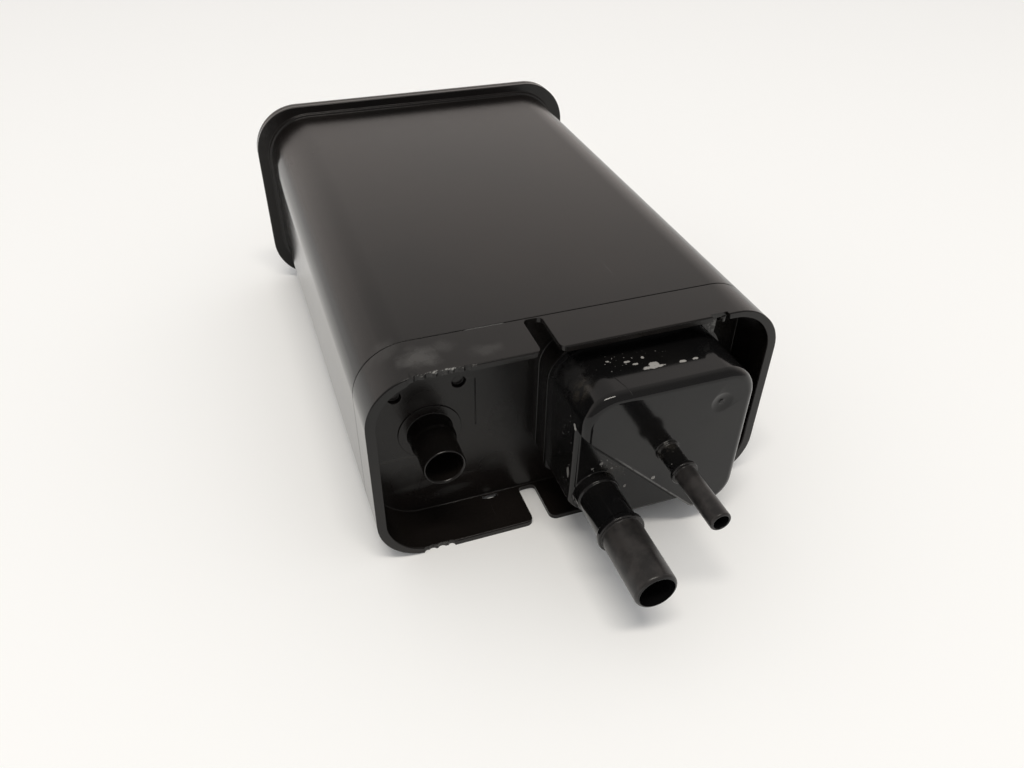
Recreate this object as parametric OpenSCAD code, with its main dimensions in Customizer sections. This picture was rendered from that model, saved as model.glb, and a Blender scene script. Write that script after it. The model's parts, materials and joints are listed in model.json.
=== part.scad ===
// Charcoal canister of a fuel vapour system, lying on its broad side as it rests on a table.
// Drawn as seen from the port end: X to the right, Y up, Z out of the port end, with Z = 0 at
// the rim of the skirt. Depths are counted from the rim into the body. laid() then sets the
// whole canister down on the table plane.

/* [Body] */
// Width of the body at the rim of the port end
rim_w = 160; // [140:0.5:180]
// Height of the body at the rim of the port end
rim_h = 86.2; // [80:0.2:95]
// Corner radius of the body at the rim
rim_r = 20; // [16:0.5:24]
// Length from the rim to the front face of the far flange
body_len = 240; // [210:1:270]
// Growth of each side from the rim to the far flange, left by the mould's draft
draft = 2.5; // [1:0.1:4]
// Thickness of the moulded walls
wall = 2.8; // [2:0.1:3.4]
// Thickness of the skirt at its top and bottom
skirt_top = 2; // [1.6:0.1:2.8]
// Thickness of the skirt at its sides
skirt_side = 3.4; // [2.4:0.1:4]
// Depth of the end wall's outer face behind the rim
recess_depth = 21; // [18:0.5:24]
// Width of the witness groove where the two halves of the mould met
witness_w = 0.5; // [0.2:0.1:1]
// Depth of the witness groove
witness_d = 0.35; // [0.2:0.05:0.6]

/* [Far flange and base cover] */
// Overhang of the far flange at the sides of the body
flange_side = 6.75; // [4:0.25:10]
// Overhang of the far flange above and below the body
flange_top = 5.4; // [3:0.1:8]
// Corner radius of the far flange
flange_r = 24; // [20:0.5:28]
// Thickness of each of the two flanges that are welded together
flange_t = 3; // [2:0.1:4]
// Depth of the pan of the base cover behind its flange
pan_depth = 6; // [4:0.5:10]
// Height of the stiffening ribs on the base cover
pan_rib_h = 2; // [1:0.5:4]

/* [Guide slot and vent spigot] */
// Left edge of the guide slot through the skirt
slot_left = -17.4; // [-20:0.1:-15]
// Width of the guide slot
slot_w = 7.3; // [6:0.1:8]
// Horizontal place of the vent spigot's axis
vent_x = -53.3; // [-58:0.1:-48]
// Outside diameter of the vent spigot
vent_d = 16; // [14:0.1:18]
// Wall of the vent spigot
vent_wall = 1.1; // [0.9:0.1:2]
// Radius of the slot's corners at the rim
slot_round = 3; // [1:0.5:4]

/* [Port cover] */
// Side of the square port chamber
chamber_w = 68; // [60:0.5:72]
// Horizontal centre of the port chamber
chamber_x = 24.5; // [22:0.5:27]
// Corner radius of the port chamber
chamber_r = 13; // [10:0.5:16]
// Size of the bevel that clears the lower left corner of the chamber
chamber_bevel = 14.7; // [10:0.1:18]
// Depth of the weld seam between neck and cover
seam_depth = 10; // [8:0.5:12]
// Height of the recessed part of the cover in front of the rim
low_front = 14.5; // [12:0.5:17]
// Height of the raised part of the cover in front of the rim
high_front = 20.5; // [18:0.5:23]
// Horizontal place of a point on the diagonal step between the two fronts
step_x = 17; // [14:0.5:20]
// Vertical place of the same point on the diagonal step
step_y = -8; // [-11:0.5:-5]
// Rounding along the front edges of the cover
front_round = 3.5; // [2:0.1:4.5]

/* [Pipes] */
// Outside diameter of the tank pipe, a 5/8 inch quick connect end
tank_d = 15.82; // [15:0.01:16.5]
// Wall of the tank pipe
tank_wall = 1.3; // [1:0.1:2]
// Horizontal place of the tank pipe's axis
tank_x = 0.2; // [-2:0.1:2]
// Vertical place of the tank pipe's axis
tank_y = -14.4; // [-17:0.1:-12]
// Tip of the tank pipe in front of the rim
tank_tip = 65; // [58:0.5:72]
// Front of the tank pipe's bead
tank_bead = 38.2; // [34:0.1:42]
// Outside diameter of the purge pipe, a 5/16 inch quick connect end
purge_d = 7.89; // [7.5:0.01:8.3]
// Wall of the purge pipe
purge_wall = 1.1; // [0.8:0.1:1.4]
// Horizontal place of the purge pipe's axis
purge_x = 25; // [22:0.5:30]
// Vertical place of the purge pipe's axis
purge_y = 3.6; // [1:0.1:8]
// Tip of the purge pipe in front of the rim
purge_tip = 58; // [52:0.5:64]
// Front of the purge pipe's bead
purge_bead = 33.8; // [30:0.1:37]

/* [Filling] */
// Thickness of each foam screen
screen_t = 6; // [4:0.5:8]
// Length of the room for the springs between the pressure plates and the base cover
spring_room = 40; // [32:1:50]
// Thickness of the perforated pressure plates
plate_t = 4; // [3:0.5:5]
// Hole diameter of the pressure plates
plate_hole = 5; // [4:0.5:6]
// Hole spacing of the pressure plates
plate_pitch = 9.5; // [8.5:0.5:11]
// Wire diameter of the springs
wire_d = 1.8; // [1.4:0.1:2.2]
// Mean diameter of the springs
coil_d = 22; // [18:1:26]
// Turns of each spring
coil_turns = 6; // [5:1:7]
// Clearance between the filling and the chamber walls
fit_gap = 0.2; // [0.1:0.05:0.3]

/* [Hidden] */
$fn = 72;
eps = 0.01;
flange_w = rim_w + 2 * (draft + flange_side);
flange_h = rim_h + 2 * (draft + flange_top);
end_inner = recess_depth + wall;
standoff = 3;
screen_start = end_inner + standoff;
bed_start = screen_start + screen_t;
cover_seat = body_len + flange_t;
pan_floor = cover_seat + pan_depth;
cover_back = pan_floor + flange_t;
plate_back = pan_floor - spring_room;
plate_start = plate_back - plate_t;
bed_end = plate_start - screen_t;
collar_h = 1.4;
divider_t = 2.5;
divider_x = slot_left + slot_w / 2;
divider_end = plate_back + 17;
main_left = divider_x + divider_t / 2;
main_right = rim_w / 2 - wall;
vent_right = divider_x - divider_t / 2;
vent_left = -main_right;
chamber_wall = 2.5;
chamber_half = chamber_w / 2;
neck_lip = 1.2;
neck_lip_t = 2.5;
tank_at = [tank_x, tank_y];
tank_collar = 4.6;
purge_at = [purge_x, purge_y];
purge_collar = 1.5;
step_at = [step_x, step_y];
gate_at = [chamber_x + 20.3, 20.6];
tank_r = tank_d / 2;
purge_r = purge_d / 2;
vent_r = vent_d / 2;
nose_share = 0.2;
vent_boss = 4.4;
vent_boss_h = 0.5;
vent_root = 0.8;
vent_root_h = 6.5;
vent_root_slope = 1.5;
spout_r = vent_r - vent_wall / 3;
socket_gap = 0.05;
vent_nose = 0.6;
brace_t = 1.2;
brace_y = [2.5, -3];
tear_x = rim_w / 2 - 31.8;
slot_end_r = 2;
arc_steps = 6;
bite_pitch = 1.9;
drain_x = divider_x - 16.3;
drain_w = 6;
drain_h = 0.8;
blind_hole_d = 5;
blind_hole_deep = 1.8;
mark_x = vent_x + 18;
mark_len = 22.5;
pan_inset = 3;
pan_w = rim_w - 2 * pan_inset;
pan_h = rim_h - 2 * pan_inset;
pan_r = rim_r - pan_inset;
pan_rib_margin = 6;
pan_rib_t = 2;
spring_gap = 0.05;
spring_spread = 44;
main_mid = (main_left + main_right) / 2;
main_spring_x = [main_mid - spring_spread / 2, main_mid + spring_spread / 2];
vent_spring_x = (vent_left + vent_right) / 2;
seat_h = 3;
seat_d = coil_d - wire_d - 0.8;
plate_margin = 11;
// The rim and the flange both touch the table, so the axis tips by this angle
lay_angle = atan((flange_h - rim_h) / 2 / body_len);
nose_top = tank_at[1] + tank_r * (1 - nose_share);
front_reach = tank_tip * cos(lay_angle) + nose_top * sin(lay_angle);
pan_rib_end = pan_h / 2 - pan_rib_margin;
back_reach = (cover_back + pan_rib_h) * cos(lay_angle) + pan_rib_end * sin(lay_angle);
lay_y = (front_reach - back_reach) / 2;
lay_z = rim_h / 2 * cos(lay_angle);

function side_growth(depth) = draft * depth / body_len;

// Sets the canister down on the table, with the middle of its bounding box above the origin
module laid() {
    translate([0, lay_y, lay_z])
        rotate([90 + lay_angle, 0, 0])
            children();
}

// Solid round a rounded rectangle: the 2D child gives the section outward from the corner centres
module swept_box(w, h, r, z0, z1) {
    cx = w / 2 - r;
    cy = h / 2 - r;
    for (mx = [0, 1], my = [0, 1])
        mirror([mx, 0, 0])
            mirror([0, my, 0])
                translate([cx, cy, 0])
                    rotate_extrude(angle = 90)
                        children();
    for (mx = [0, 1])
        mirror([mx, 0, 0])
            translate([cx, cy, 0])
                rotate([90, 0, 0])
                    linear_extrude(2 * cy)
                        children();
    for (my = [0, 1])
        mirror([0, my, 0])
            translate([-cx, cy, 0])
                rotate([90, 0, 90])
                    linear_extrude(2 * cx)
                        children();
    translate([-cx, -cy, z0])
        cube([2 * cx, 2 * cy, z1 - z0]);
}

// Drafted box between two depths, offset inward from the outer skin of the body
module drafted_box(inset, d0, d1) {
    r0 = rim_r - inset + side_growth(d0);
    r1 = rim_r - inset + side_growth(d1);
    swept_box(rim_w, rim_h, rim_r, -d1, -d0)
        polygon([[0, -d0], [r0, -d0], [r1, -d1], [0, -d1]]);
}

// Open room in front of the end wall, inside the skirt
module recess_room() {
    top_r = rim_r - skirt_top;
    end_r = top_r + side_growth(recess_depth);
    swept_box(rim_w - 2 * (skirt_side - skirt_top), rim_h, rim_r, -recess_depth, eps)
        polygon([[0, eps], [top_r, eps], [end_r, -recess_depth], [0, -recess_depth]]);
}

// Box with plain sides and a rounded front edge, from z0 up to z1
module pillow(w, h, r, z0, z1, edge) {
    swept_box(w, h, r, z0, z1) {
        union() {
            translate([0, z0])
                square([r, z1 - z0 - edge]);
            translate([0, z0])
                square([r - edge, z1 - z0]);
            translate([r - edge, z1 - edge])
                circle(edge);
        }
    }
}

// Flat plate with rounded corners
module round_plate(w, h, r, z0, z1) {
    swept_box(w, h, r, z0, z1)
        translate([0, z0])
            square([r, z1 - z0]);
}

// Half space beyond the bevelled lower left corner of the chamber, moved inward by inset
module corner_cut(inset) {
    reach = chamber_w;
    corner = [chamber_x - chamber_half, -chamber_half];
    translate([corner[0] + chamber_bevel / 2, corner[1] + chamber_bevel / 2, 0])
        rotate([0, 0, 45])
            translate([-reach + inset, -reach / 2, -reach])
                cube([reach, reach, 2 * reach]);
}

// Plan of the chamber as a prism, grown outward by grow
module chamber_prism(grow, z0, z1) {
    side = chamber_w + 2 * grow;
    difference() {
        translate([chamber_x, 0, 0])
            round_plate(side, side, chamber_r + grow, z0, z1);
        corner_cut(-grow);
    }
}

// Half of the inside of the body, left or right of the divider
module chamber_half_space(is_main) {
    reach = flange_w;
    edge = is_main ? divider_x + divider_t / 2 + fit_gap : divider_x - divider_t / 2 - fit_gap - reach;
    translate([edge, -reach / 2, -2 * body_len])
        cube([reach, reach, 3 * body_len]);
}

// Filling of one chamber between two depths
module chamber_filling(is_main, d0, d1) {
    intersection() {
        drafted_box(wall + fit_gap, d0, d1);
        chamber_half_space(is_main);
    }
}

// Ragged scallops out of the rim from x on, as many as given, each between least and most deep
module rim_bites(x, y, count, least, most) {
    for (i = [0 : count - 1]) {
        bite_r = 1.7 + 0.4 * sin(i * 137);
        deep = least + (most - least) * abs(sin(i * 79 + 30));
        translate([x + i * bite_pitch, y, bite_r - deep])
            rotate([90, 0, 0])
                cylinder(r = bite_r, h = rim_r, center = true, $fn = 24);
    }
}

// Breaks in the rim: along the top left and bottom left edges, and the gap of the torn tongue
module rim_breaks() {
    rim_bites(-rim_w / 2 + 17, rim_h / 2, 11, 0.6, 1.3);
    rim_bites(-rim_w / 2 + 18.5, -rim_h / 2, 6, 0.7, 1.6);
    translate([tear_x + 4.3, rim_h / 2, 0])
        rotate([0, 0, 8])
            cube([7, 3 * wall, 4.4], center = true);
}

// Torn tongue of the rim at the top right, bent down into the recess, and the stub beside it
module torn_tongue() {
    tongue_w = 8.4;
    tongue_len = 6;
    translate([tear_x, rim_h / 2 - skirt_top + 0.3, -2.2])
        rotate([-14, 8, -9])
            translate([-tongue_w / 2 - 0.4, 0, -0.7])
                linear_extrude(1.4)
                    polygon([
                        [0, 0], [0.2 * tongue_w, -0.3 * tongue_len], [0.7 * tongue_w, -0.9 * tongue_len],
                        [0.9 * tongue_w, -tongue_len], [tongue_w, 0]
                    ]);
    translate([tear_x + 6.8, rim_h / 2 - skirt_top + 0.2, -3.4])
        rotate([90, 0, 0])
            cylinder(d = 3.2, h = 2.2);
}

// Points on an arc, for profiles
function arc(centre, r, from, to) =
    [for (i = [0 : arc_steps]) let (a = from + (to - from) * i / arc_steps) centre + r * [cos(a), sin(a)]];

// Guide slot through the top and the bottom of the skirt, rounded at its mouth and at its end
module guide_slot() {
    slot_right = slot_left + slot_w;
    end_y = slot_end_r - recess_depth + 1;
    rotate([90, 0, 0])
        linear_extrude(2 * rim_h, center = true)
            polygon(concat(
                [[slot_left - slot_round, 1]],
                arc([slot_left - slot_round, -slot_round], slot_round, 90, 0),
                arc([slot_left + slot_end_r, end_y], slot_end_r, 180, 270),
                arc([slot_right - slot_end_r, end_y], slot_end_r, 270, 360),
                arc([slot_right + slot_round, -slot_round], slot_round, 180, 90),
                [[slot_right + slot_round, 1]]
            ));
}

// Slanted drain slot through the bottom of the skirt, close to the end wall
module drain_slot() {
    translate([drain_x, -rim_h / 2 + skirt_top, -recess_depth + 2.2])
        rotate([-46, 0, 0])
            cube([drain_w, drain_h, 12], center = true);
}

// Neck that carries the port cover, with its weld lip and the two ribs that brace it
module chamber_neck() {
    chamber_prism(0, -recess_depth - eps, -seam_depth);
    chamber_prism(neck_lip, -seam_depth - neck_lip_t, -seam_depth);
    rib_x = chamber_x + chamber_half - eps;
    for (y = brace_y)
        translate([rib_x, y - brace_t / 2, -recess_depth - eps])
            cube([rim_w / 2 - skirt_side - rib_x + 0.5, brace_t, recess_depth - seam_depth - 1]);
}

// Windows through the end wall inside the neck, which leave a grid that holds the foam
module neck_windows() {
    pitch = 10.5;
    bar = 2.5;
    for (i = [-2 : 2], j = [-2 : 2])
        if (i + j > -4)
            translate([chamber_x + i * pitch, j * pitch, -recess_depth - wall / 2])
                cube([pitch - bar, pitch - bar, 2 * wall], center = true);
}

// Stand-off ribs on the inside of the end wall
module standoff_ribs() {
    rib_t = 1.6;
    margin = 9;
    main_span = main_right - main_left - 2 * margin;
    vent_span = vent_right - vent_left - 2 * margin;
    places = concat(
        [for (i = [0 : 3]) main_left + margin + i * main_span / 3],
        [for (i = [0, 1]) vent_left + margin + i * vent_span]
    );
    for (x = places)
        translate([x - rib_t / 2, -rim_h / 2 + margin, -screen_start])
            cube([rib_t, rim_h - 2 * margin, standoff + eps]);
}

module canister_body() {
    blind_holes = [[vent_x - 12.4, 19.2], [vent_x + 12, 20.7]];
    color("#1d1c1c")
        difference() {
            union() {
                difference() {
                    drafted_box(0, 0, body_len + flange_t);
                    recess_room();
                    drafted_box(wall, end_inner, body_len + flange_t + eps);
                    guide_slot();
                    rim_breaks();
                }
                difference() {
                    union() {
                        round_plate(flange_w, flange_h, flange_r, -cover_seat, -body_len);
                        drafted_box(-collar_h, body_len - collar_h, body_len + 1);
                    }
                    drafted_box(wall / 2, body_len - 2 * collar_h, cover_seat + 1);
                }
                intersection() {
                    translate([divider_x - divider_t / 2, -rim_h, -divider_end])
                        cube([divider_t, 2 * rim_h, divider_end - recess_depth - 1]);
                    drafted_box(wall / 2, recess_depth, body_len);
                }
                torn_tongue();
                chamber_neck();
                standoff_ribs();
            }
            difference() {
                drafted_box(-1, recess_depth - witness_w, recess_depth);
                drafted_box(witness_d, recess_depth - 2 * witness_w, recess_depth + witness_w);
            }
            translate([0, 0, eps])
                chamber_prism(-chamber_wall, -recess_depth, -seam_depth);
            neck_windows();
            translate([vent_x, 0, -end_inner - 1])
                cylinder(r = spout_r + socket_gap, h = wall + 2);
            for (at = blind_holes)
                translate([at[0], at[1], -recess_depth - blind_hole_deep])
                    cylinder(d = blind_hole_d, h = 2 * blind_hole_deep);
            drain_slot();
            translate([mark_x, -1.5, -recess_depth - 0.3])
                cube([0.4, mark_len, 1]);
        }
}

// Vent spigot: its foot is welded onto the end wall, with a thicker root and a spout in the wall's hole
module vent_spigot() {
    bore_r = vent_r - vent_wall;
    foot = -recess_depth;
    color("#1d1c1c")
        translate([vent_x, 0, 0])
            rotate_extrude()
                polygon([
                    [bore_r, -end_inner], [spout_r, -end_inner], [spout_r, foot],
                    [vent_r + vent_boss, foot], [vent_r + vent_boss, foot + vent_boss_h],
                    [vent_r + vent_root, foot + vent_boss_h], [vent_r + vent_root, foot + vent_root_h],
                    [vent_r, foot + vent_root_h + vent_root_slope], [vent_r, -vent_nose],
                    [vent_r - vent_wall / 3, 0], [vent_r - vent_wall / 2, 0], [bore_r, -vent_nose]
                ]);
}

// Half space on the raised side of the cover's diagonal step, moved inward by inset
module above_diagonal(inset) {
    reach = chamber_w;
    translate([step_at[0], step_at[1], 0])
        rotate([0, 0, 45])
            translate([inset, -reach, -reach])
                cube([reach, 2 * reach, 2 * reach]);
}

// Outer form of the port cover: the recessed front, and the raised front above the diagonal
module cover_form() {
    difference() {
        union() {
            translate([chamber_x, 0, 0])
                pillow(chamber_w, chamber_w, chamber_r, -seam_depth, low_front, front_round - 0.7);
            intersection() {
                translate([chamber_x, 0, 0])
                    pillow(chamber_w, chamber_w, chamber_r, -seam_depth, high_front, front_round);
                above_diagonal(0);
            }
        }
        gate_dish();
        corner_cut(0);
    }
    chamber_prism(neck_lip, -seam_depth, -seam_depth + neck_lip_t);
}

// Room inside the port cover
module cover_room() {
    side = chamber_w - 2 * chamber_wall;
    radius = chamber_r - chamber_wall;
    difference() {
        union() {
            translate([chamber_x, 0, 0])
                round_plate(side, side, radius, -seam_depth - 1, low_front - chamber_wall);
            intersection() {
                translate([chamber_x, 0, 0])
                    round_plate(side, side, radius, -seam_depth - 1, high_front - chamber_wall);
                above_diagonal(chamber_wall);
            }
        }
        corner_cut(chamber_wall);
    }
}

// Quick connect pipe end: collar at its root, bead, straight end and rounded nose
module pipe_end(at, r, root, collar, bead, tip) {
    nose = r * nose_share;
    bead_r = r + 1.15;
    bead_t = 1.2 + r * 0.18;
    nose_arc = [for (a = [0 : 15 : 90]) [r - nose + nose * cos(a), tip - nose + nose * sin(a)]];
    translate([at[0], at[1], 0])
        rotate_extrude()
            polygon(concat([
                [0, root - 1], [r + 0.6, root - 1], [r + 0.6, collar - 0.4], [r, collar],
                [r, bead - bead_t - 0.8], [bead_r - 0.4, bead - bead_t], [bead_r, bead - bead_t + 0.4],
                [bead_r, bead - 0.3], [bead_r - 0.3, bead], [r, bead]
            ], nose_arc, [[0, tip]]));
}

// Shallow dish with a nub left by the injection gate
module gate_dish() {
    dish_r = 4.8;
    dish_d = 0.9;
    ball_r = (dish_r * dish_r + dish_d * dish_d) / (2 * dish_d);
    translate([gate_at[0], gate_at[1], high_front + ball_r - dish_d])
        sphere(ball_r);
}

module port_cover() {
    color("#39383a")
        difference() {
            union() {
                cover_form();
                pipe_end(tank_at, tank_r, low_front, low_front + tank_collar, tank_bead, tank_tip);
                pipe_end(purge_at, purge_r, high_front, high_front + purge_collar, purge_bead, purge_tip);
                translate([gate_at[0], gate_at[1], high_front - 1])
                    cylinder(d1 = 2.6, d2 = 1.6, h = 0.55);
            }
            cover_room();
            translate([tank_at[0], tank_at[1], 0])
                cylinder(r = tank_r - tank_wall, h = tank_tip + 1);
            translate([purge_at[0], purge_at[1], 0])
                cylinder(r = purge_r - purge_wall, h = purge_tip + 1);
        }
}

// Crossed stiffening ribs on the outside of the pan
module pan_ribs() {
    rib_back = -cover_back - pan_rib_h;
    half_w = pan_w / 2 - pan_rib_margin;
    for (i = [-1.5 : 1 : 1.5])
        translate([i * pan_w / 4.8 - pan_rib_t / 2, -pan_rib_end, rib_back])
            cube([pan_rib_t, 2 * pan_rib_end, pan_rib_h + 1]);
    for (i = [-0.5, 0.5])
        translate([-half_w, i * pan_h / 2.5 - pan_rib_t / 2, rib_back])
            cube([2 * half_w, pan_rib_t, pan_rib_h + 1]);
}

module base_cover() {
    room_w = pan_w - 2 * flange_t;
    room_h = pan_h - 2 * flange_t;
    color("#1a1a1b")
        difference() {
            union() {
                round_plate(flange_w, flange_h, flange_r, -cover_seat - flange_t, -cover_seat);
                mirror([0, 0, 1])
                    pillow(pan_w, pan_h, pan_r, cover_seat, cover_back, 2.5);
                pan_ribs();
            }
            difference() {
                round_plate(room_w, room_h, pan_r - flange_t, -pan_floor, -cover_seat + 1);
                for (x = concat(main_spring_x, [vent_spring_x]))
                    translate([x, 0, -pan_floor - 1])
                        cylinder(d = seat_d, h = seat_h + 1);
            }
        }
}

module main_carbon_bed() {
    color("#0d0d0d")
        chamber_filling(true, bed_start, bed_end);
}

module vent_carbon_bed() {
    color("#0d0d0d")
        chamber_filling(false, bed_start, bed_end);
}

module main_port_screen() {
    color("#4a4a48")
        chamber_filling(true, screen_start, bed_start);
}

module vent_port_screen() {
    color("#4a4a48")
        chamber_filling(false, screen_start, bed_start);
}

module main_base_screen() {
    color("#4a4a48")
        chamber_filling(true, bed_end, plate_start);
}

module vent_base_screen() {
    color("#4a4a48")
        chamber_filling(false, bed_end, plate_start);
}

// Places of a row of holes, centred between two walls
function hole_row(from, to) =
    let (steps = floor((to - from - 2 * plate_margin) / plate_pitch))
    [for (i = [0 : steps]) (from + to) / 2 + (i - steps / 2) * plate_pitch];

// Perforated plate of one chamber, with a stud that centres each spring
module pressure_plate(is_main, studs, holes_x) {
    difference() {
        chamber_filling(is_main, plate_start, plate_back);
        for (x = holes_x, y = hole_row(-rim_h / 2 + wall, rim_h / 2 - wall))
            translate([x, y, -plate_back - 1])
                cylinder(d = plate_hole, h = plate_t + 2);
    }
    for (x = studs)
        translate([x, 0, -plate_back - seat_h])
            cylinder(d = seat_d, h = seat_h + plate_t / 2);
}

module main_pressure_plate() {
    color("#2b2b2d")
        pressure_plate(true, main_spring_x, hole_row(main_left, main_right));
}

module vent_pressure_plate() {
    color("#2b2b2d")
        pressure_plate(false, [vent_spring_x], hole_row(vent_left, vent_right));
}

// Height of the wire's centre after n turns: closed coils at both ends, even pitch between them
function coil_rise(n, free) =
    let (closed = 1.15 * wire_d)
    n < 1 ? n * closed
    : n > coil_turns - 1 ? free - (coil_turns - n) * closed
    : closed + (n - 1) * (free - 2 * closed) / (coil_turns - 2);

// Compression spring standing between a pressure plate and the base cover
module coil_spring(x) {
    steps = 22;
    sides = 8;
    rings = coil_turns * steps;
    free = spring_room - wire_d - 2 * spring_gap;
    points = [
        for (i = [0 : rings], k = [0 : sides - 1])
            let (a = 360 * i / steps, b = 360 * k / sides)
            let (reach = coil_d / 2 + wire_d / 2 * cos(b))
            let (rise = coil_rise(i / steps, free) + wire_d / 2 * sin(b))
            [reach * cos(a), reach * sin(a), rise]
    ];
    walls = [
        for (i = [0 : rings - 1], k = [0 : sides - 1])
            let (a = i * sides + k, b = i * sides + (k + 1) % sides)
            [a, b, b + sides, a + sides]
    ];
    first_cap = [for (k = [sides - 1 : -1 : 0]) k];
    last_cap = [for (k = [0 : sides - 1]) rings * sides + k];
    color("#8d8f92")
        translate([x, 0, -pan_floor + wire_d / 2 + spring_gap])
            polyhedron(points, concat(walls, [first_cap, last_cap]));
}

module main_spring_left() {
    coil_spring(main_spring_x[0]);
}

module main_spring_right() {
    coil_spring(main_spring_x[1]);
}

module vent_spring() {
    coil_spring(vent_spring_x);
}

laid() canister_body();
laid() vent_spigot();
laid() port_cover();
laid() base_cover();
laid() main_carbon_bed();
laid() vent_carbon_bed();
laid() main_port_screen();
laid() vent_port_screen();
laid() main_base_screen();
laid() vent_base_screen();
laid() main_pressure_plate();
laid() vent_pressure_plate();
laid() main_spring_left();
laid() main_spring_right();
laid() vent_spring();
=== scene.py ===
"""Looks of a used charcoal canister: softened mouldings, worn black plastic and a plain studio."""

from __future__ import annotations

import itertools
import json
import logging
import math
from dataclasses import dataclass, field
from enum import Enum
from functools import reduce
from typing import Any, Iterable

import bmesh
import bpy
from mathutils import Euler, Matrix, Vector
from mathutils.kdtree import KDTree

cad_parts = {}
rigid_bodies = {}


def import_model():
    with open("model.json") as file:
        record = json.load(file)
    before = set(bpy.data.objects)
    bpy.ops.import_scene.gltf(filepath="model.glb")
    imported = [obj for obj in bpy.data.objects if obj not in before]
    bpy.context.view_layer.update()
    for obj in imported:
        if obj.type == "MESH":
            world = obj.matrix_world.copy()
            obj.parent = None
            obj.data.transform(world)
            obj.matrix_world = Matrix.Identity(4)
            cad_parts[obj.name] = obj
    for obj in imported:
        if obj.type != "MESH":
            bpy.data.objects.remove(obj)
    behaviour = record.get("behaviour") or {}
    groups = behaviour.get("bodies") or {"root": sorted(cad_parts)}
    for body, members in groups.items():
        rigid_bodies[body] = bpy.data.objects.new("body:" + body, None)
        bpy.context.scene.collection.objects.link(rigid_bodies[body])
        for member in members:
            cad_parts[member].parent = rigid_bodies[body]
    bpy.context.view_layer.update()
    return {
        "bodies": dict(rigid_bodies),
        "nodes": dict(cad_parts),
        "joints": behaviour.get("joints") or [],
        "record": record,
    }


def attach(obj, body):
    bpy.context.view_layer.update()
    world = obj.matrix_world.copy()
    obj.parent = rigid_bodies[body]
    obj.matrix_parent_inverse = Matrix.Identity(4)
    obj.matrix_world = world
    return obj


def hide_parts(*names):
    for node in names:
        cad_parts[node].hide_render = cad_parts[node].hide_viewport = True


LOG = logging.getLogger("canister")
MM = 0.001
ROOT = "root"
# Middle of a noise that runs from 0 to 1.
MID_NOISE = 0.5
# How far noise moves the outline of a mark, as a share of the mark's reach.
OUTLINE_BREAK = 1.4

Colour = tuple[float, float, float, float]
Triple = tuple[float, float, float]
Pair = tuple[float, float]


class Maths(Enum):
    """Operations of the Math and Vector Math nodes that the finishes use."""

    ADD = "ADD"
    SUBTRACT = "SUBTRACT"
    MULTIPLY = "MULTIPLY"
    POWER = "POWER"
    ABSOLUTE = "ABSOLUTE"
    MAXIMUM = "MAXIMUM"
    LENGTH = "LENGTH"


class Value:
    """A float socket that builds Math nodes when it is used in an expression."""

    def __init__(self, sheet: NodeSheet, socket: bpy.types.NodeSocket) -> None:
        """Wrap a socket of a node sheet."""
        self.sheet = sheet
        self.socket = socket

    def _math(self, operation: Maths, first: Any, second: Any) -> Value:
        """Add one Math node and wrap its result."""
        node = self.sheet.add("ShaderNodeMath", {"operation": operation.value}, {0: first, 1: second})
        return Value(self.sheet, node.outputs[0])

    def __add__(self, other: Any) -> Value:
        """Sum."""
        return self._math(Maths.ADD, self, other)

    __radd__ = __add__

    def __sub__(self, other: Any) -> Value:
        """Difference."""
        return self._math(Maths.SUBTRACT, self, other)

    def __rsub__(self, other: Any) -> Value:
        """Difference with the number first."""
        return self._math(Maths.SUBTRACT, other, self)

    def __mul__(self, other: Any) -> Value:
        """Product."""
        return self._math(Maths.MULTIPLY, self, other)

    __rmul__ = __mul__

    def __pow__(self, other: Any) -> Value:
        """Power."""
        return self._math(Maths.POWER, self, other)

    def size(self) -> Value:
        """Absolute value."""
        return self._math(Maths.ABSOLUTE, self, 0.0)

    def most(self, other: Any) -> Value:
        """Larger of two values."""
        return self._math(Maths.MAXIMUM, self, other)

    def step(self, low: float, high: float) -> Value:
        """Smooth step from 0 at low to 1 at high; low may be the larger number.

        Args:
            low: Value that gives 0.
            high: Value that gives 1.

        Returns:
            The stepped value between 0 and 1.
        """
        start, end = (low, high) if low < high else (high, low)
        node = self.sheet.add(
            "ShaderNodeMapRange",
            {"interpolation_type": "SMOOTHSTEP"},
            {"Value": self, "From Min": start, "From Max": end, "To Min": 0.0, "To Max": 1.0},
        )
        rising = Value(self.sheet, node.outputs["Result"])
        return rising if low < high else 1.0 - rising

    def step_mm(self, low: float, high: float) -> Value:
        """Smooth step between two places in millimetres."""
        return self.step(low * MM, high * MM)


@dataclass(frozen=True)
class Texture:
    """A fractal noise: how fine it is, its octaves and their roughness."""

    scale: float
    detail: float
    rough: float = 0.5


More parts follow.
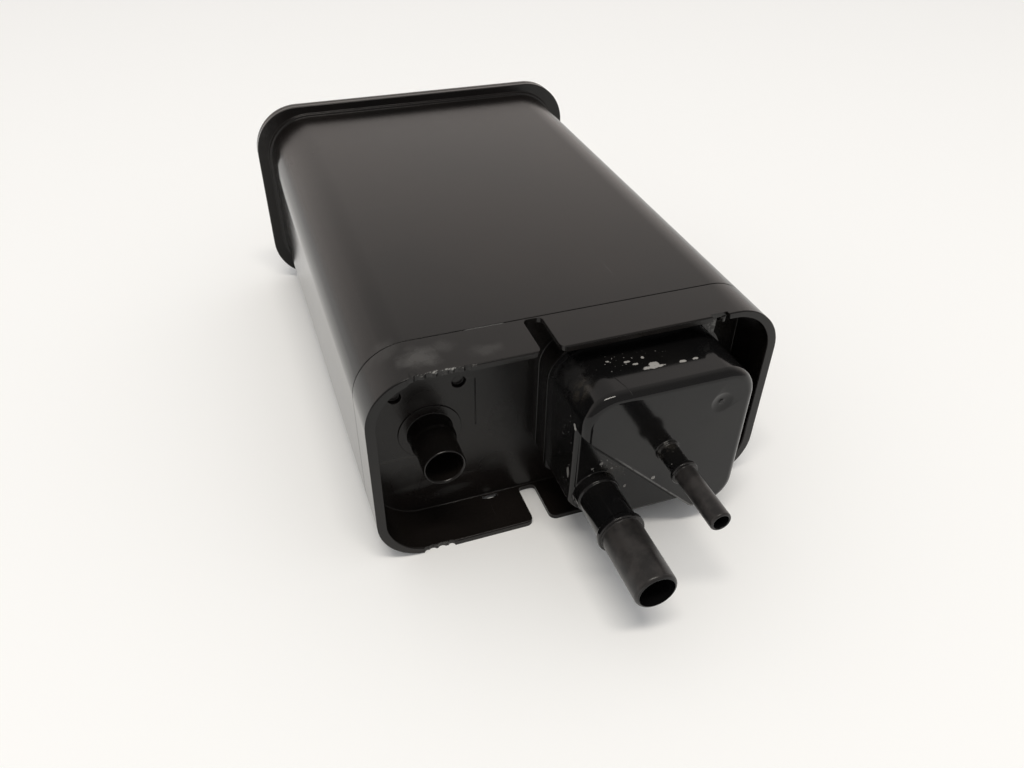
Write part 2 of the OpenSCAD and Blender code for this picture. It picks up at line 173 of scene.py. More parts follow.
class NodeSheet:
    """A node tree, with one method that adds any node."""

    def __init__(self, tree: bpy.types.NodeTree) -> None:
        """Start from an emptied tree."""
        self.tree = tree
        self.tree.nodes.clear()

    def feed(self, target: bpy.types.NodeSocket, source: Any) -> None:
        """Set a socket from a wrapped value, a socket or a plain number or colour.

        Args:
            target: The socket to set.
            source: What it takes its value from.
        """
        if isinstance(source, Value):
            source = source.socket
        if isinstance(source, bpy.types.NodeSocket):
            self.tree.links.new(source, target)
        else:
            target.default_value = source

    def add(self, kind: str, settings: dict[str, Any], inputs: dict[Any, Any]) -> bpy.types.Node:
        """Add a node, apply its settings, then fill its sockets.

        Args:
            kind: Blender's type name of the node.
            settings: Attributes of the node, set first.
            inputs: Socket name or index to a value or a link.

        Returns:
            The new node.
        """
        node = self.tree.nodes.new(kind)
        for name, setting in settings.items():
            setattr(node, name, setting)
        for key, source in inputs.items():
            self.feed(node.inputs[key], source)
        return node

    def parts(self, vector: Any) -> tuple[Value, Value, Value]:
        """Split a vector into its three values."""
        node = self.add("ShaderNodeSeparateXYZ", {}, {0: vector})
        return tuple(Value(self, socket) for socket in node.outputs)

    def combined(self, operation: Maths, *inputs: Any) -> bpy.types.Node:
        """Add one Vector Math node."""
        return self.add("ShaderNodeVectorMath", {"operation": operation.value}, dict(enumerate(inputs)))

    def stretched(self, vector: Any, scale: Triple) -> Any:
        """Scale a vector along its axes."""
        return self.combined(Maths.MULTIPLY, vector, scale).outputs["Vector"]

    def noise(self, vector: Any, texture: Texture) -> Value:
        """Fractal noise between 0 and 1.

        Args:
            vector: Place at which it is read.
            texture: Its fineness, octaves and roughness.

        Returns:
            The noise.
        """
        inputs = {
            "Vector": vector,
            "Scale": texture.scale,
            "Detail": texture.detail,
            "Roughness": texture.rough,
        }
        return Value(self, self.add("ShaderNodeTexNoise", {}, inputs).outputs[0])

    def cells(self, vector: Any, scale: float) -> Value:
        """Distance to the nearest of many scattered points."""
        node = self.add("ShaderNodeTexVoronoi", {"feature": "F1"}, {"Vector": vector, "Scale": scale})
        return Value(self, node.outputs["Distance"])

    def colour_mix(self, share: Any, first: Any, second: Any) -> Any:
        """Mix two colours by a share between 0 and 1.

        Args:
            share: Share of the second colour.
            first: Colour at share 0.
            second: Colour at share 1.

        Returns:
            The socket of the mixed colour.
        """
        node = self.add(
            "ShaderNodeMix",
            {"data_type": "RGBA", "blend_type": "MIX", "clamp_factor": True},
            {0: share, 6: first, 7: second},
        )
        return node.outputs[2]

    def bumped(self, height: Value, depth: float) -> Any:
        """Normal of a bumped surface, with the depth of one unit of height in millimetres."""
        inputs = {"Height": height, "Distance": depth * MM, "Strength": 1.0}
        return self.add("ShaderNodeBump", {}, inputs).outputs["Normal"]


@dataclass(frozen=True)
class LaidPose:
    """How the canister lies: the middle of its rim and the tilt of its axis."""

    rim_centre: Triple
    tilt: float

    @classmethod
    def from_record(cls, record: dict[str, Any], vent_depth: float = 6.6 * MM) -> LaidPose:
        """Read the pose off the vent port, which points straight out of the port end.

        Args:
            record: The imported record.
            vent_depth: Depth of the vent port's place behind the rim.

        Returns:
            The pose.
        """
        vent = next(mount for mount in record["mounts"] if mount["name"] == "vent_port")
        axis = Vector(vent["axis"])
        centre = Vector(vent["pos_m"]) + axis * vent_depth
        return cls((0.0, centre.y, centre.z), math.atan2(-axis.z, -axis.y))

    def matrix(self) -> Matrix:
        """Matrix from the canister's own axes to the frame."""
        return Matrix.Translation(self.rim_centre) @ Matrix.Rotation(self.tilt, 4, "X")


class MaterialSheet(NodeSheet):
    """The node tree of a material with a Principled shader, read by object coordinates."""

    def __init__(self, name: str) -> None:
        """Start a material that holds only its shader.

        Args:
            name: Name of the material.
        """
        self.material = bpy.data.materials.new(name)
        self.material.use_nodes = True
        super().__init__(self.material.node_tree)
        self.shader = self.add("ShaderNodeBsdfPrincipled", {}, {})
        self.add("ShaderNodeOutputMaterial", {}, {"Surface": self.shader.outputs["BSDF"]})
        self.place = self.add("ShaderNodeTexCoord", {}, {}).outputs["Object"]

    def canister_place(self, pose: LaidPose) -> Any:
        """Coordinates along the canister's own axes, with zero at the middle of its rim.

        Args:
            pose: How the canister lies.

        Returns:
            The socket of the coordinates, in metres.
        """
        node = self.add(
            "ShaderNodeMapping",
            {"vector_type": "TEXTURE"},
            {"Vector": self.place, "Location": pose.rim_centre, "Rotation": (pose.tilt, 0.0, 0.0)},
        )
        return node.outputs["Vector"]

    def finish(self, colour: Any, roughness: Any, normal: Any = None, **fixed: float) -> None:
        """Feed the Principled shader.

        Args:
            colour: Base colour or its socket.
            roughness: Roughness or its value.
            normal: Socket of a bumped normal, if any.
            **fixed: Plain numbers for other sockets.
        """
        self.feed(self.shader.inputs["Base Color"], colour)
        self.feed(self.shader.inputs["Roughness"], roughness)
        if normal is not None:
            self.feed(self.shader.inputs["Normal"], normal)
        for name, number in fixed.items():
            self.shader.inputs[name].default_value = number


def strongest(masks: Iterable[Value]) -> Value:
    """Largest of several masks at each place."""
    return reduce(Value.most, masks)


@dataclass(frozen=True)
class Blot:
    """A soft mark: its middle on the canister's own axes in millimetres, its reach and strength."""

    middle: Triple
    reach: Triple
    strength: float = 1.0

    def holds(self, point: Vector) -> bool:
        """Whether a point on the canister's own axes, in metres, lies within reach."""
        sides = zip(point, self.middle, self.reach)
        return all(abs(number - middle * MM) < reach * MM for number, middle, reach in sides)

    def mask(self, sheet: NodeSheet, place: Any, ragged: Value, soft: float) -> Value:
        """Mask of the mark, with its outline broken up by noise.

        Args:
            sheet: The node sheet.
            place: Canister coordinates.
            ragged: Noise between 0 and 1 that breaks up the outline.
            soft: Width of the soft outline as a share of the reach.

        Returns:
            A mask between 0 and the mark's strength.
        """
        middle = tuple(number * MM for number in self.middle)
        scale = tuple(1.0 / (number * MM) for number in self.reach)
        offset = sheet.combined(Maths.SUBTRACT, place, middle).outputs["Vector"]
        length = sheet.combined(Maths.LENGTH, sheet.stretched(offset, scale)).outputs["Value"]
        distance = Value(sheet, length) + (ragged - MID_NOISE) * OUTLINE_BREAK
        return distance.step(1.0, 1.0 - soft) * self.strength


@dataclass(frozen=True)
class Marks:
    """Marks of one kind, with the width of their soft outlines as a share of their reach."""

    soft: float
    blots: tuple[Blot, ...]

    def mask(self, sheet: NodeSheet, place: Any, ragged: Value) -> Value:
        """Strongest of the marks at each place."""
        return strongest(blot.mask(sheet, place, ragged, self.soft) for blot in self.blots)


@dataclass(frozen=True)
class Span:
    """A stretch in millimetres: where it starts, is full, begins to fade and ends."""

    start: float
    full: float
    fading: float
    end: float

    def mask(self, place: Value) -> Value:
        """Mask of the stretch."""
        return place.step_mm(self.start, self.full) * place.step_mm(self.end, self.fading)


@dataclass(frozen=True)
class PipeSkin:
    """The dulled outside of a pipe: its axis, the radii and the depths it lies between, in mm."""

    axis: Pair
    radii: Span
    start: Pair

    def mask(self, across: Value, depth: Value, height: Value) -> Value:
        """Mask of the skin.

        Args:
            across: Place from left to right.
            depth: Place behind the rim.
            height: Place above the middle.

        Returns:
            A mask between 0 and 1.
        """
        aside, above = across - self.axis[0] * MM, height - self.axis[1] * MM
        radius = (aside * aside + above * above) ** 0.5
        return self.radii.mask(radius) * depth.step_mm(*self.start)


@dataclass(frozen=True)
class Finish:
    """A finish, which paints one material on the canister's own axes."""

    name: str

    def build(self, pose: LaidPose) -> bpy.types.Material:
        """Make the material.

        Args:
            pose: How the canister lies.

        Returns:
            The material.
        """
        sheet = MaterialSheet(self.name)
        self.paint(sheet, sheet.canister_place(pose))
        return sheet.material

    def paint(self, sheet: MaterialSheet, place: Any) -> None:
        """Add the finish's own nodes; each finish has its own way."""
        raise NotImplementedError


@dataclass(frozen=True)
class BodyPlastic(Finish):
    """Semi-matte black moulding with a brown cast, scuffs, pale breaks, painted light in the drain slot
    and a glossier end wall.

    Places and widths are in millimetres on the canister's own axes. A pair that ends in _from holds
    the noise at which something starts and the noise at which it is full.
    """

    name: str = "body_plastic"
    colour: Colour = (0.0042, 0.0039, 0.0037, 1.0)
    warm: Colour = (0.0085, 0.0068, 0.0060, 1.0)
    scuff: Colour = (0.085, 0.083, 0.080, 1.0)
    torn: Colour = (0.11, 0.108, 0.104, 1.0)
    speck: Colour = (0.25, 0.245, 0.235, 1.0)
    # Pale colour of the nick in the witness groove, and of the painted light on the drain slot's walls.
    pale: Colour = (0.9, 0.9, 0.88, 1.0)
    refraction: float = 1.38

    roughness: float = 0.24
    side_roughness: float = 0.1
    end_wall_roughness: float = 0.25
    cloud_roughness: float = 0.1
    fine_roughness: float = 0.06
    scuff_roughness: float = 0.12
    dulled_roughness: float = 0.45
    broken_roughness: float = 0.3

    cloud: Texture = Texture(14.0, 4.0)
    fine: Texture = Texture(160.0, 4.0, 0.6)
    crisp: Texture = Texture(900.0, 3.0, 0.6)
    dots: Texture = Texture(620.0, 3.0, 0.7)
    grain: Texture = Texture(2600.0, 2.0)
    streaks: Texture = Texture(1.0, 2.0)
    streaks_along: Triple = (520.0, 9.0, 520.0)
    streaks_across: Triple = (12.0, 640.0, 60.0)
    along_from: Pair = (0.71, 0.78)
    across_from: Pair = (0.73, 0.79)
    scratched_from: Pair = (0.45, 0.65)
    warm_from: Pair = (0.35, 0.7)
    haze_from: Pair = (0.45, 0.7)
    broken_from: Pair = (0.42, 0.6)
    dots_from: Pair = (0.53, 0.61)
    nick_from: Pair = (0.35, 0.5)
    scratch_share: float = 0.25
    haze_share: float = 0.25

    relief: float = 0.012
    scratch_relief: float = 0.6
    broken_relief: float = 6.0
    polish: float = 0.85

    side: Pair = (78.0, 79.8)
    end_wall: Span = Span(20.1, 20.4, 21.4, 21.9)
    skirt_across: Pair = (66.0, 70.0)
    skirt_height: Pair = (30.0, 33.0)
    rim_round: float = 1.1
    rim_drop: float = 1.7
    groove: float = 20.75
    nick: Span = Span(-39.5, -37.5, -25.0, -23.5)
    nick_width: Pair = (0.3, 0.14)
    nick_height: Pair = (40.0, 42.0)
    nick_strength: float = 0.5
    # How much noise breaks the outline of the painted light in the drain slot.
    slot_light_break: float = 0.2

    smudges: Marks = Marks(0.9, (
        Blot((-57.5, 10.5, 43.0), (10.0, 8.0, 5.0), 0.5),
        Blot((-49.0, 13.5, 43.0), (6.0, 5.0, 5.0), 0.2),
        Blot((-35.0, 7.5, 43.0), (8.0, 4.5, 5.0), 0.22),
        Blot((-68.0, 20.0, 41.0), (8.0, 8.0, 7.0), 0.2),
    ))
    breaks: Marks = Marks(0.5, (
        Blot((-52.5, 0.4, 42.0), (11.5, 1.6, 3.0), 0.2),
        Blot((-55.5, 0.4, -42.0), (7.5, 1.8, 3.0), 0.5),
        Blot((49.0, 2.2, 38.0), (7.0, 2.6, 5.5), 0.8),
    ))
    torn_edge: Marks = Marks(0.5, (Blot((-53.0, 0.5, 42.9), (13.5, 1.5, 0.7)),))
    # Painted light: the drain slot's walls are painted near-white, standing in for the lit floor seen
    # through the slot.
    painted_slot_light: Marks = Marks(0.3, (Blot((-30.05, 18.8, -41.1), (2.3, 0.9, 1.3)),))
    dulled: Marks = Marks(0.9, (
        Blot((-64.0, 21.0, -23.0), (7.0, 2.0, 9.0), 0.8),
        Blot((-27.0, 21.0, -24.0), (9.0, 2.0, 6.0), 0.7),
        Blot((-24.0, 21.0, -2.0), (8.0, 2.0, 12.0), 0.5),
        Blot((-55.0, 21.0, 14.0), (9.0, 2.0, 7.0), 0.6),
    ))

    def paint(self, sheet: MaterialSheet, place: Any) -> None:
        """Add the nodes of the worn moulding.

        Args:
            sheet: The material's sheet.
            place: Canister coordinates.
        """
        across, depth, height = sheet.parts(place)
        cloud = sheet.noise(place, self.cloud)
        fine = sheet.noise(place, self.fine)
        crisp = sheet.noise(place, self.crisp)
        scuffed = self.smudges.mask(sheet, place, fine)
        broken = self.breaks.mask(sheet, place, crisp) * crisp.step(*self.broken_from)
        scratches = self.scratch_mask(sheet, place, cloud)
        side = across.size().step_mm(*self.side)
        end_wall = self.end_wall.mask(depth)
        dulled = self.dulled.mask(sheet, place, fine) * end_wall

        colour = sheet.colour_mix(cloud.step(*self.warm_from), self.colour, self.warm)
        colour = sheet.colour_mix(scuffed, colour, self.scuff)
        colour = sheet.colour_mix(scratches * self.scratch_share, colour, self.scuff)
        haze = dulled * fine.step(*self.haze_from) * self.haze_share
        colour = sheet.colour_mix(haze, colour, self.scuff)
        colour = sheet.colour_mix(broken, colour, self.torn)
        dots = sheet.noise(place, self.dots).step(*self.dots_from)
        colour = sheet.colour_mix(self.torn_edge.mask(sheet, place, fine) * dots, colour, self.speck)
        # Pale nick along the witness groove, and painted light on the drain slot's walls.
        calm = cloud * self.slot_light_break + MID_NOISE * (1.0 - self.slot_light_break)
        nick = self.nick_mask(across, depth, height) * fine.step(*self.nick_from)
        bright = nick.most(self.painted_slot_light.mask(sheet, place, calm))
        colour = sheet.colour_mix(bright, colour, self.pale)

        roughness = self.roughness + (cloud - MID_NOISE) * self.cloud_roughness
        roughness = roughness + (fine - MID_NOISE) * self.fine_roughness
        roughness = roughness + scuffed * self.scuff_roughness
        roughness = roughness - end_wall * (self.roughness - self.end_wall_roughness)
        roughness = roughness - side * (self.roughness - self.side_roughness)
        roughness = roughness + dulled * fine * self.dulled_roughness
        roughness = roughness + broken * self.broken_roughness

        relief = sheet.noise(place, self.grain) * (1.0 - end_wall.most(side) * self.polish)
        relief = relief - scratches * self.scratch_relief + broken * crisp * self.broken_relief
        relief = relief - self.rim_mask(across, depth, height) * (self.rim_drop / self.relief)
        sheet.finish(colour, roughness, sheet.bumped(relief, self.relief), IOR=self.refraction)

    def rim_mask(self, across: Value, depth: Value, height: Value) -> Value:
        """Mask that grows towards the rim's edge, clear of the vent spigot, to round that edge.

        Args:
            across: Place from left to right.
            depth: Place behind the rim.
            height: Place above the middle.

        Returns:
            A mask of 0 behind the rim and a half at its edge.
        """
        skirt = across.size().step_mm(*self.skirt_across)
        skirt = skirt.most(height.size().step_mm(*self.skirt_height))
        return skirt * depth.step_mm(self.rim_round, -self.rim_round)

    def nick_mask(self, across: Value, depth: Value, height: Value) -> Value:
        """Mask of the bright nick along a length of the witness groove on the top.

        Args:
            across: Place from left to right.
            depth: Place behind the rim.
            height: Place above the middle.

        Returns:
            A mask between 0 and the nick's strength.
        """
        line = (depth - self.groove * MM).size().step_mm(*self.nick_width)
        top = height.step_mm(*self.nick_height)
        return line * self.nick.mask(across) * top * self.nick_strength

    def scratch_mask(self, sheet: NodeSheet, place: Any, cloud: Value) -> Value:
        """Mask of thin sparse scratches that run with the body and across it.

        Args:
            sheet: The node sheet.
            place: Canister coordinates.
            cloud: Noise that says where the scratches lie.

        Returns:
            A mask between 0 and 1.
        """
        along = sheet.noise(sheet.stretched(place, self.streaks_along), self.streaks)
        across = sheet.noise(sheet.stretched(place, self.streaks_across), self.streaks)
        lines = along.step(*self.along_from).most(across.step(*self.across_from))
        return lines * cloud.step(*self.scratched_from)


@dataclass(frozen=True)
class CoverPlastic(Finish):
    """Glossy black moulding of the port cover, with satin pipes, dust, pale flecks of dirt, painted
    shade along the foot of the diagonal step and a pale ridge that is partly wear, partly painted
    highlight.

    Places and widths are in millimetres on the canister's own axes. A pair that ends in _from holds
    the noise at which something starts and the noise at which it is full.
    """

    name: str = "cover_plastic"
    colour: Colour = (0.0045, 0.0044, 0.0046, 1.0)
    pipe_colour: Colour = (0.027, 0.0245, 0.0235, 1.0)
    dust: Colour = (0.050, 0.044, 0.036, 1.0)
    fleck: Colour = (0.3, 0.29, 0.275, 1.0)
    # Pale ridge along the diagonal step's edge: partly wear, partly a painted highlight.
    worn: Colour = (0.1, 0.098, 0.095, 1.0)
    # Painted shade: near-black band along the foot of the diagonal step.
    step_shade: Colour = (0.001, 0.001, 0.001, 1.0)
    hairline: Colour = (0.0015, 0.0015, 0.0015, 1.0)
    refraction: float = 1.38

    roughness: float = 0.1
    pipe_roughness: float = 0.3
    fine_roughness: float = 0.04
    cloud_roughness: float = 0.04
    dusty_roughness: float = 0.4
    pale_roughness: float = 0.5
    dulled_roughness: float = 0.8
    hair_roughness: float = 0.4
    corner_roughness: float = 0.5

    cloud: Texture = Texture(30.0, 4.0)
    fine: Texture = Texture(420.0, 4.0, 0.65)
    crisp: Texture = Texture(1300.0, 3.0, 0.6)
    chips: Texture = Texture(480.0, 2.0)
    dots: Texture = Texture(800.0, 1.0)
    mottle: Texture = Texture(150.0, 4.0, 0.6)
    grain: Texture = Texture(1500.0, 2.0)
    crisp_share: float = 0.4
    jag: float = 1.7
    dots_from: Pair = (0.7, 0.76)
    dusty_from: Pair = (0.4, 0.62)
    ridge_from: Pair = (0.3, 0.5)
    mottle_from: Pair = (0.36, 0.64)
    film_from: Pair = (0.42, 0.75)
    dull_from: Pair = (0.4, 0.7)
    dots_share: float = 0.7
    mottle_share: float = 0.65
    film_share: float = 0.06
    dusty_share: float = 0.7

    relief: float = 0.01
    grain_relief: float = 0.5
    pale_relief: float = 3.0

    pipes: tuple[PipeSkin, ...] = (
        PipeSkin((0.2, -14.4), Span(7.0, 7.3, 9.5, 10.0), (-37.3, -38.8)),
        PipeSkin((25.0, 3.6), Span(3.2, 3.5, 5.0, 5.5), (-33.0, -34.5)),
    )
    step_at: Pair = (17.0, -8.0)
    # Where the pale ridge lies: partly wear, partly a painted highlight along the step's edge.
    ridge_width: Pair = (0.9, 0.5)
    ridge_length: Pair = (-22.0, -8.0)
    ridge_depth: Pair = (-19.1, -19.9)
    # Where the painted shade along the foot of the diagonal step lies.
    corner_width: Span = Span(-3.3, -2.3, 0.2, 0.6)
    corner_length: Pair = (-27.0, -22.0)
    corner_depth: Pair = (-19.5, -18.5)
    hair_at: Pair = (6.5, -14.0)
    hair_slant: float = 0.25
    hair_width: Pair = (0.3, 0.12)
    hair_height: Pair = (32.0, 33.0)
    hair_length: Span = Span(-20.5, -19.5, -10.5, -9.5)

    flecks: Marks = Marks(0.2, (
        Blot((21.5, -9.0, 34.0), (4.4, 1.0, 1.0)),
        Blot((22.3, -7.6, 34.0), (2.0, 1.2, 1.0)),
        Blot((13.6, -3.3, 34.0), (1.2, 0.65, 1.0)),
        Blot((16.0, -5.4, 34.0), (1.2, 0.6, 1.0)),
        Blot((20.0, -2.6, 34.0), (0.6, 0.6, 1.0)),
        Blot((32.8, -9.2, 34.0), (1.4, 0.75, 1.0)),
        Blot((38.1, -9.2, 34.0), (1.4, 0.7, 1.0)),
        Blot((7.2, -1.0, 34.0), (0.8, 0.55, 1.0)),
        Blot((-9.5, -13.2, 18.0), (1.0, 0.9, 2.0)),
        Blot((-9.5, -10.5, -6.0), (1.0, 0.9, 2.6), 0.6),
        Blot((21.2, -20.5, -9.6), (0.8, 1.0, 0.8), 0.8),
        Blot((2.0, -14.5, -2.0), (0.8, 1.0, 0.8), 0.6),
        Blot((-1.5, -14.5, -3.5), (0.6, 1.0, 0.6), 0.5),
        Blot((6.5, -14.5, -5.5), (0.6, 1.0, 0.5), 0.5),
        Blot((13.0, -14.5, -17.0), (0.6, 1.0, 0.8), 0.5),
    ))
    dusty: Marks = Marks(0.9, (
        Blot((-5.0, -8.5, 29.0), (6.5, 7.0, 8.0), 1.0),
        Blot((6.5, -14.5, -7.0), (8.5, 4.0, 9.0), 0.8),
        Blot((24.0, -23.0, 4.0), (8.0, 4.0, 9.0), 0.7),
    ))
    dulled: Marks = Marks(0.9, (Blot((-7.5, 0.0, 31.5), (9.0, 15.0, 9.0), 1.0),))
    speckled: Marks = Marks(0.6, (
        Blot((14.0, -3.0, 34.0), (20.0, 7.0, 2.0), 1.0),
        Blot((5.0, -14.5, -6.0), (10.0, 3.0, 13.0), 1.0),
        Blot((-9.5, -8.0, 4.0), (2.0, 10.0, 26.0), 0.7),
        Blot((22.5, -26.0, 5.0), (8.0, 7.0, 9.0), 0.8),
    ))

    def paint(self, sheet: MaterialSheet, place: Any) -> None:
        """Add the nodes of the glossy moulding.

        Args:
            sheet: The material's sheet.
            place: Canister coordinates.
        """
        across, depth, height = sheet.parts(place)
        cloud = sheet.noise(place, self.cloud)
        fine = sheet.noise(place, self.fine)
        crisp = sheet.noise(place, self.crisp)
        chipped = sheet.noise(place, self.chips) * (1.0 - self.crisp_share) + crisp * self.crisp_share
        jagged = (chipped - MID_NOISE) * self.jag + MID_NOISE
        dulled = self.dulled.mask(sheet, place, fine)
        dusty = self.dusty.mask(sheet, place, fine) * fine.step(*self.dusty_from)
        dots = sheet.noise(place, self.dots).step(*self.dots_from)
        specks = dots * self.speckled.mask(sheet, place, fine)
        pale = self.flecks.mask(sheet, place, jagged).most(specks * self.dots_share)
        hair = self.hair_mask(across, depth, height)
        aside, along = self.step_places(across, height)
        # Painted shade in a band along the foot of the diagonal step.
        corner = self.corner_width.mask(aside) * along.step_mm(*self.corner_length)
        corner = corner * depth.step_mm(*self.corner_depth)
        # Pale ridge along the step's edge: partly wear, partly a painted highlight.
        ridge = aside.size().step_mm(*self.ridge_width) * along.step_mm(*self.ridge_length)
        ridge = ridge * depth.step_mm(*self.ridge_depth) * fine.step(*self.ridge_from)
        pipes = strongest(pipe.mask(across, depth, height) for pipe in self.pipes)

        mottled = sheet.noise(place, self.mottle).step(*self.mottle_from) * self.mottle_share
        mottled = pipes * (mottled + (1.0 - self.mottle_share))
        colour = sheet.colour_mix(mottled, self.colour, self.pipe_colour)
        film = cloud.step(*self.film_from) * self.film_share
        colour = sheet.colour_mix(film, colour, self.dust)
        colour = sheet.colour_mix(dusty * self.dusty_share, colour, self.dust)
        # Painted shade along the foot of the step.
        colour = sheet.colour_mix(corner, colour, self.step_shade)
        # Pale ridge: partly wear, partly painted highlight.
        colour = sheet.colour_mix(ridge, colour, self.worn)
        colour = sheet.colour_mix(pale, colour, self.fleck)
        colour = sheet.colour_mix(hair, colour, self.hairline)

        roughness = self.roughness + pipes * (self.pipe_roughness - self.roughness)
        roughness = roughness + (fine - MID_NOISE) * self.fine_roughness
        roughness = roughness + cloud.step(*self.dull_from) * self.cloud_roughness
        dirt = (dusty * self.dusty_roughness).most(pale * self.pale_roughness)
        roughness = roughness + dirt.most(dulled * self.dulled_roughness)
        roughness = roughness + hair * self.hair_roughness + corner * self.corner_roughness

        relief = sheet.noise(place, self.grain) * self.grain_relief + pale * self.pale_relief
        sheet.finish(colour, roughness, sheet.bumped(relief, self.relief), IOR=self.refraction)

    def step_places(self, across: Value, height: Value) -> tuple[Value, Value]:
        """Places beside and along the diagonal step of the cover's front.

        Args:
            across: Place from left to right.
            height: Place above the middle.

        Returns:
            The distance from the step's edge, with the raised side above 0, and the place along it.
        """
        right, above = across - self.step_at[0] * MM, height - self.step_at[1] * MM
        return (right + above) * math.sqrt(0.5), (right - above) * math.sqrt(0.5)

    def hair_mask(self, across: Value, depth: Value, height: Value) -> Value:
        """Mask of the hairline on the cover's top.

        Args:
            across: Place from left to right.
            depth: Place behind the rim.
            height: Place above the middle.

        Returns:
            A mask between 0 and 1.
        """
        hair_x, hair_y = self.hair_at
        aside = across - hair_x * MM + (depth - hair_y * MM) * self.hair_slant
        line = aside.size().step_mm(*self.hair_width) * height.step_mm(*self.hair_height)
        return line * self.hair_length.mask(depth)


@dataclass(frozen=True)
class CarbonGrains(Finish):
    """Loose black carbon granules."""

    name: str = "carbon"
    colour: Colour = (0.006, 0.006, 0.006, 1.0)
    glint: Colour = (0.03, 0.03, 0.032, 1.0)
    roughness: float = 0.8
    grains: float = 480.0
    glint_from: Pair = (0.5, 0.1)
    relief: float = 0.6

    def paint(self, sheet: MaterialSheet, place: Any) -> None:
        """Add the nodes of the granules.

        Args:
            sheet: The material's sheet.
            place: Canister coordinates.
        """
        grains = sheet.cells(place, self.grains)
        colour = sheet.colour_mix(grains.step(*self.glint_from), self.colour, self.glint)
        sheet.finish(colour, self.roughness, sheet.bumped(1.0 - grains, self.relief))


@dataclass(frozen=True)
class OpenFoam(Finish):
    """Grey open-pored foam, with painted shade in its pores."""

    name: str = "foam"
    colour: Colour = (0.08, 0.08, 0.075, 1.0)
    # Painted shade: near-black colour at the pores.
    pore_shade: Colour = (0.01, 0.01, 0.01, 1.0)
    roughness: float = 0.95
    pores: float = 900.0
    pore_from: Pair = (0.4, 0.15)
    relief: float = 0.4

    def paint(self, sheet: MaterialSheet, place: Any) -> None:
        """Add the nodes of the foam.

        Args:
            sheet: The material's sheet.
            place: Canister coordinates.
        """
        holes = sheet.cells(place, self.pores)
        # Painted shade: the pores are coloured near-black.
        colour = sheet.colour_mix(holes.step(*self.pore_from), self.colour, self.pore_shade)
        sheet.finish(colour, self.roughness, sheet.bumped(holes, self.relief))


@dataclass(frozen=True)
class PlatePlastic(Finish):
    """Plain matte black moulding of the hidden plates."""

    name: str = "plate_plastic"
    colour: Colour = (0.02, 0.02, 0.021, 1.0)
    roughness: float = 0.5
    cloud: Texture = Texture(60.0, 3.0)
    cloud_roughness: float = 0.15
    relief: float = 0.02

    def paint(self, sheet: MaterialSheet, place: Any) -> None:
        """Add the nodes of the plates.

        Args:
            sheet: The material's sheet.
            place: Canister coordinates.
        """
        cloud = sheet.noise(place, self.cloud)
        roughness = self.roughness + cloud * self.cloud_roughness
        sheet.finish(self.colour, roughness, sheet.bumped(cloud, self.relief))


@dataclass(frozen=True)
class SpringWire(Finish):
    """Drawn spring steel."""

    name: str = "spring_steel"
    colour: Colour = (0.4, 0.41, 0.42, 1.0)
    dull: Colour = (0.22, 0.22, 0.23, 1.0)
    roughness: float = 0.3
    cloud: Texture = Texture(120.0, 4.0)
    cloud_roughness: float = 0.2

    def paint(self, sheet: MaterialSheet, place: Any) -> None:
        """Add the nodes of the wire.

        Args:
            sheet: The material's sheet.
            place: Canister coordinates.
        """
        cloud = sheet.noise(place, self.cloud)
        colour = sheet.colour_mix(cloud, self.colour, self.dull)
        sheet.finish(colour, self.roughness + cloud * self.cloud_roughness, Metallic=1.0)


class EdgeChains:
    """Sharp edges, joined into chains wherever one runs on into the next without a corner."""

    def __init__(self, edges: list[bmesh.types.BMEdge], turn: float) -> None:
        """Join the edges.

        Args:
            edges: The sharp edges.
            turn: Largest turn between two edges of one chain, in radians.
        """
        self.chain = {edge.index: edge.index for edge in edges}
        fans: dict[int, list[bmesh.types.BMEdge]] = {}
        for edge in edges:
            for vertex in edge.verts:
                fans.setdefault(vertex.index, []).append(edge)
        corners: list[tuple[int, int]] = []
        for fan in fans.values():
            for first, second in itertools.combinations(fan, 2):
                if self.bend(first, second) < turn:
                    self.chain[self.root(first.index)] = self.root(second.index)
                else:
                    corners.append((first.index, second.index))
        self.meeting = {frozenset(map(self.root, pair)) for pair in corners}

    @staticmethod
    def bend(first: bmesh.types.BMEdge, second: bmesh.types.BMEdge) -> float:
        """Turn between two edges that share a vertex.

        Args:
            first: One edge.
            second: The edge that follows it.

        Returns:
            The turn in radians.
        """
        shared = next(vertex for vertex in first.verts if vertex in second.verts)
        arriving = shared.co - first.other_vert(shared).co
        leaving = second.other_vert(shared).co - shared.co
        return arriving.angle(leaving, math.pi)

    def root(self, index: int) -> int:
        """Find the index that names the chain of an edge.

        Args:
            index: Index of the edge.

        Returns:
            Index of the edge that the chain is named for.
        """
        while self.chain[index] != index:
            self.chain[index] = self.chain[self.chain[index]]
            index = self.chain[index]
        return index

    def apart(self, first: int, second: int) -> bool:
        """Whether two edges lie on chains that don't meet at a corner."""
        chains = frozenset((self.root(first), self.root(second)))
        return len(chains) == 2 and chains not in self.meeting


